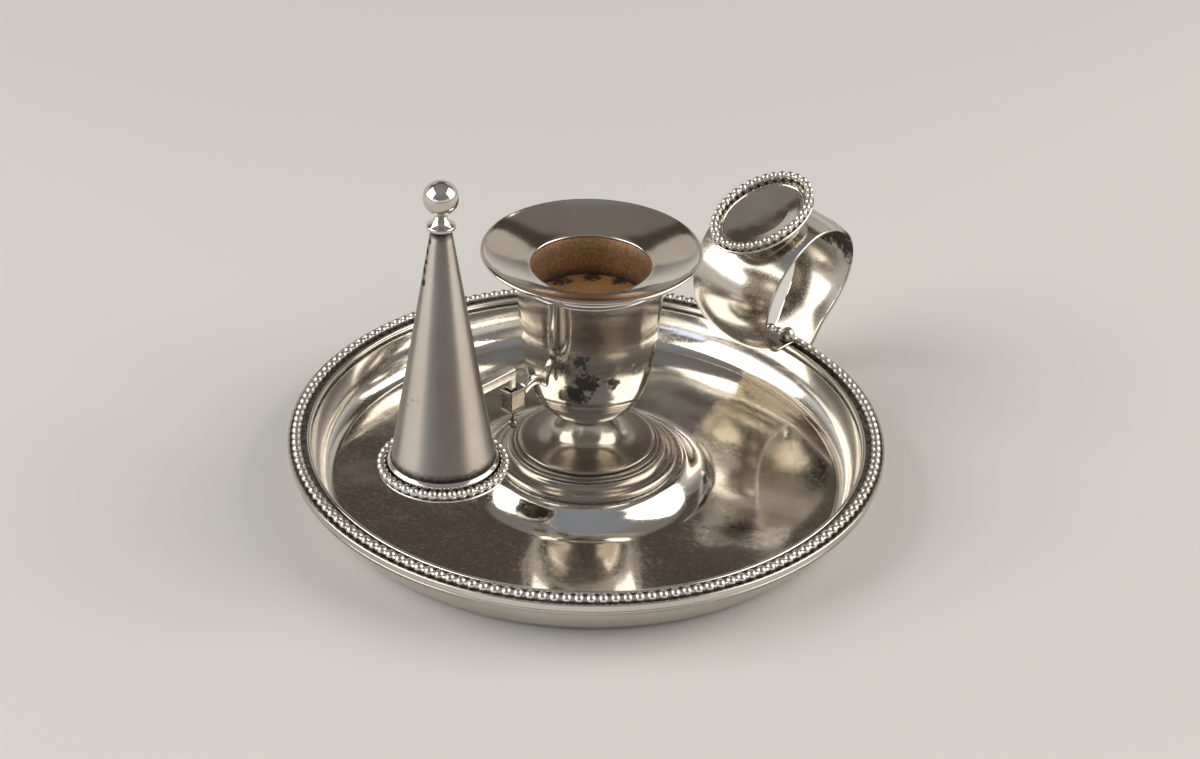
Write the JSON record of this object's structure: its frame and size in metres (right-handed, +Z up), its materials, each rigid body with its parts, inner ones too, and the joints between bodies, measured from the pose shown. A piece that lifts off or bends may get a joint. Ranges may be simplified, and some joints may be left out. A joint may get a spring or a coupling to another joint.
{
  "type": "chamberstick with snuffer",
  "caption": "Silver chamberstick: beaded drip pan with a ring handle and thumb plate, a vase-shaped socket with a loose nozzle, and a cone snuffer hung on a bracket.",
  "frame": {"origin": "middle of the overall box in X and Y, on the table that the pan stands on", "axes": "+X from the socket towards the handle, +Y across the pan, +Z up; the snuffer hangs on the -X side"},
  "size_m": [0.1484, 0.13, 0.0872],
  "materials": {
    "polished_silver": "polished silver with fine wear scratches and dark tarnish pits",
    "satin_silver": "dulled silver with a soft grey tarnish",
    "browned_silver": "silver browned by heat and wax",
    "bolt_steel": "plain steel"
  },
  "bodies": {
    "base": {"drip_pan": "polished_silver", "rim_moulding": "polished_silver", "rim_beading": "polished_silver", "foot_moulding": "polished_silver", "socket_foot": "polished_silver", "candle_cup": "polished_silver", "cup_lip_ring": "polished_silver", "socket_stud": "bolt_steel", "socket_nut": "bolt_steel", "bracket_arm": "polished_silver", "bracket_sleeve": "polished_silver", "bracket_cap": "polished_silver", "bracket_drop": "polished_silver", "handle_loop": "polished_silver", "handle_rivet_near": "polished_silver", "handle_rivet_far": "polished_silver", "thumb_plate": "polished_silver", "thumb_beading": "polished_silver"},
    "nozzle": {"nozzle_flange": "satin_silver", "nozzle_tube": "browned_silver", "nozzle_floor": "browned_silver"},
    "snuffer": {"snuffer_cone": "satin_silver", "snuffer_base_ring": "polished_silver", "snuffer_beading": "polished_silver", "snuffer_collar": "polished_silver", "snuffer_ball": "polished_silver", "snuffer_bar": "polished_silver", "snuffer_tongue": "polished_silver"}
  },
  "joints": [
    {"name": "nozzle_lift", "type": "slide", "parent": "base", "child": "nozzle", "axis": [0, 0, 1], "range_m": [0, 0.03]},
    {"name": "snuffer_lift", "type": "slide", "parent": "base", "child": "snuffer", "axis": [0, 0, 1], "range_m": [0, 0.012]}
  ]
}
